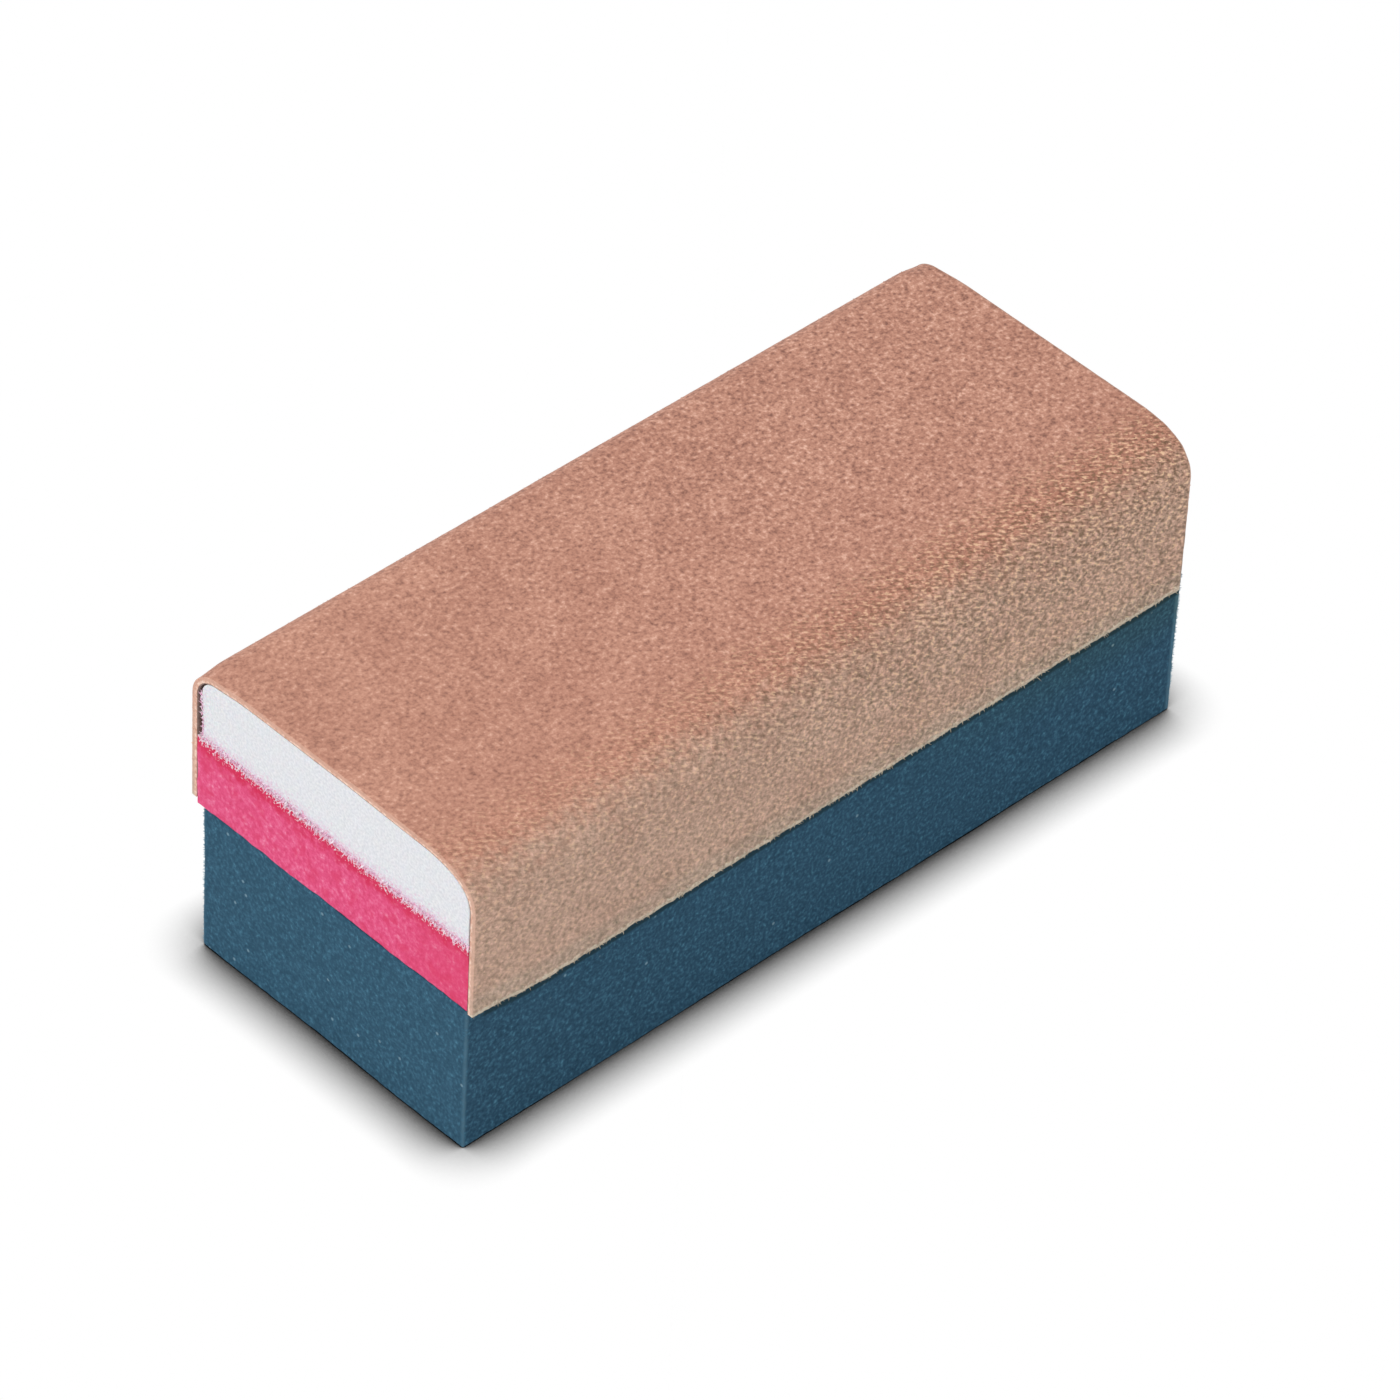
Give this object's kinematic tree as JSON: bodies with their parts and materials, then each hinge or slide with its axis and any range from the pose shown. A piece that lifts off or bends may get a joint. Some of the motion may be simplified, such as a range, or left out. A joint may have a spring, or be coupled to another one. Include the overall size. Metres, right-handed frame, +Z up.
{
  "type": "nail buffer block",
  "caption": "Hand-held nail buffer: a layered foam block with an abrasive sheet folded over its soft rounded top and down both long sides.",
  "frame": {"origin": "centre of the firm base's underside", "axes": "+X along the block, +Y across it towards the side where the pad overhangs the base, +Z up towards the abrasive top"},
  "size_m": [0.07, 0.0292, 0.0256],
  "materials": {
    "base_foam": "fine closed-cell EVA foam, matt",
    "glue": "dried contact adhesive, thin and dull",
    "pad_foam": "medium-density foam, matt, sawn faces",
    "cushion_foam": "soft open-cell foam, matt, torn cells at the edges",
    "sheet_adhesive": "dried sheet adhesive",
    "sheet_backing": "latex paper, pale at its cut edges",
    "grit_coat": "fine aluminium-oxide grit in resin, matt"
  },
  "bodies": {
    "root": {"base_block": "base_foam", "base_glue_line": "glue", "middle_pad": "pad_foam", "cushion_glue_line": "glue", "soft_cushion": "cushion_foam", "sheet_adhesive": "sheet_adhesive", "sheet_backing": "sheet_backing", "abrasive_coat": "grit_coat"}
  },
  "joints": []
}
